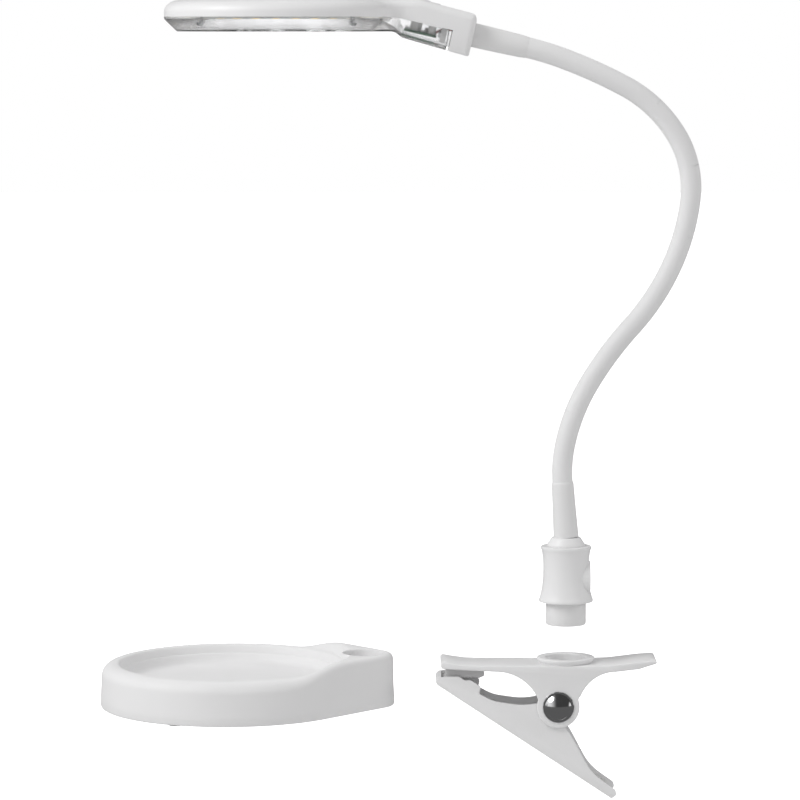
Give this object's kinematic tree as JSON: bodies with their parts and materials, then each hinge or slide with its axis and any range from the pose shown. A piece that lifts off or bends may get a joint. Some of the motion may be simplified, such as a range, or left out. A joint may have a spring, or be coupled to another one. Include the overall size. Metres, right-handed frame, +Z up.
{
  "type": "clip on reading lamp",
  "caption": "Round illuminated magnifier head on a gooseneck with a plug-in connector, a sprung table clip and a weighted desk stand.",
  "frame": {"origin": "middle of the clip's grip, where a shelf edge is held", "axes": "+Z up along the lamp's upright axis, +X back from the grip to the lamp, Y across the clip, which is symmetric about Y = 0"},
  "size_m": [0.3314, 0.144, 0.4396],
  "materials": {
    "white_abs": "smooth injection-moulded white plastic, soft gloss",
    "warm_white": "smooth warm white plastic",
    "sleeve_white": "smooth white sleeve, satin",
    "white_panel": "white plastic, satin",
    "clear_cover": "clear plastic cover, slightly silvery",
    "lens": "clear lens",
    "grip_rubber": "light grey grip rubber",
    "black_rubber": "black foot rubber",
    "chrome": "polished chrome",
    "steel": "plain steel",
    "spring_steel": "spring wire",
    "cast_weight": "raw cast iron",
    "board_white": "white solder mask",
    "board_green": "green solder mask",
    "led_yellow": "yellow phosphor",
    "black_plastic": "black plastic",
    "wire": "wire insulation"
  },
  "bodies": {
    "clip_upper": {"upper_jaw": "white_abs", "socket_cup": "white_abs", "pivot_rivet": "chrome", "rivet_cap": "chrome", "rivet_washers": "steel", "upper_pad": "grip_rubber", "torsion_spring": "spring_steel"},
    "clip_lower": {"lower_jaw": "white_abs", "lower_pad": "grip_rubber", "thumb_grip": "white_panel"},
    "plug": {"plug_stub": "warm_white", "swivel_circlip": "steel"},
    "connector": {"connector_shell": "white_abs", "connector_base": "white_abs", "connector_cap": "white_abs", "connector_screws": "steel", "inlet_housing": "black_plastic", "inlet_pin": "steel", "lower_ferrule": "white_abs", "sleeve_1": "sleeve_white", "conduit_1": "steel"},
    "head": {"sleeve_9": "sleeve_white", "conduit_9": "steel", "upper_ferrule": "white_abs", "head_shell": "white_abs", "clear_cover": "clear_cover", "lens": "lens", "led_board": "board_white", "leds": "led_yellow", "cover_screws": "steel", "driver_board": "board_green", "driver_parts": "black_plastic", "head_wires": "wire", "neck_clamp": "white_panel", "clamp_screws": "steel", "switch_body": "black_plastic"},
    "switch": {"switch_rocker": "white_abs"},
    "stand": {"stand_shell": "white_abs", "stand_plate": "white_panel", "stand_weight": "cast_weight", "stand_feet": "black_rubber", "stand_screws": "steel"},
    "link_2": {"sleeve_2": "sleeve_white", "conduit_2": "steel"},
    "link_3": {"sleeve_3": "sleeve_white", "conduit_3": "steel"},
    "link_4": {"sleeve_4": "sleeve_white", "conduit_4": "steel"},
    "link_5": {"sleeve_5": "sleeve_white", "conduit_5": "steel"},
    "link_6": {"sleeve_6": "sleeve_white", "conduit_6": "steel"},
    "link_7": {"sleeve_7": "sleeve_white", "conduit_7": "steel"},
    "link_8": {"sleeve_8": "sleeve_white", "conduit_8": "steel"}
  },
  "joints": [
    {"name": "jaw_hinge", "type": "hinge", "parent": "clip_upper", "child": "clip_lower", "pos_m": [0.0515, 0, -0.0155], "axis": [0, -1, 0], "range_deg": [0, 28], "stiffness_Nm_per_rad": 1.2, "springref_deg": -48.7, "deforming": ["torsion_spring"]},
    {"name": "plug_slide", "type": "slide", "parent": "clip_upper", "child": "plug", "axis": [0, 0, 1], "range_m": [-0.0306, 0.02]},
    {"name": "neck_swivel", "type": "hinge", "parent": "plug", "child": "connector", "pos_m": [0.056, 0, 0.04], "axis": [0, 0, 1], "range_deg": [-90, 90]},
    {"name": "neck_bend_1", "type": "hinge", "parent": "connector", "child": "link_2", "pos_m": [0.05501, 0, 0.12748], "axis": [0, 1, 0], "range_deg": [-20, 20]},
    {"name": "neck_bend_2", "type": "hinge", "parent": "link_2", "child": "link_3", "pos_m": [0.06874, 0, 0.16324], "axis": [0.8572, 0, -0.515], "range_deg": [-20, 20]},
    {"name": "neck_bend_3", "type": "hinge", "parent": "link_3", "child": "link_4", "pos_m": [0.0916, 0, 0.19415], "axis": [0, 1, 0], "range_deg": [-20, 20]},
    {"name": "neck_bend_4", "type": "hinge", "parent": "link_4", "child": "link_5", "pos_m": [0.11277, 0, 0.22613], "axis": [0.9063, 0, -0.4226], "range_deg": [-20, 20]},
    {"name": "neck_bend_5", "type": "hinge", "parent": "link_5", "child": "link_6", "pos_m": [0.12334, 0, 0.26299], "axis": [0, 1, 0], "range_deg": [-20, 20]},
    {"name": "neck_bend_6", "type": "hinge", "parent": "link_6", "child": "link_7", "pos_m": [0.11517, 0, 0.29985], "axis": [0.848, 0, 0.5299], "range_deg": [-20, 20]},
    {"name": "neck_bend_7", "type": "hinge", "parent": "link_7", "child": "link_8", "pos_m": [0.08733, 0, 0.32581], "axis": [0, 1, 0], "range_deg": [-20, 20]},
    {"name": "neck_bend_8", "type": "hinge", "parent": "link_8", "child": "head", "pos_m": [0.05219, 0, 0.34146], "axis": [0.342, 0, 0.9397], "range_deg": [-20, 20]},
    {"name": "rocker_press", "type": "hinge", "parent": "head", "child": "switch", "pos_m": [-0.01954, 0, 0.36774], "axis": [0, -1, 0], "range_deg": [0, 14]},
    {"name": "stand_slide", "type": "slide", "parent": "clip_upper", "child": "stand", "axis": [-1, 0, 0], "range_m": [0, 0.08]}
  ]
}
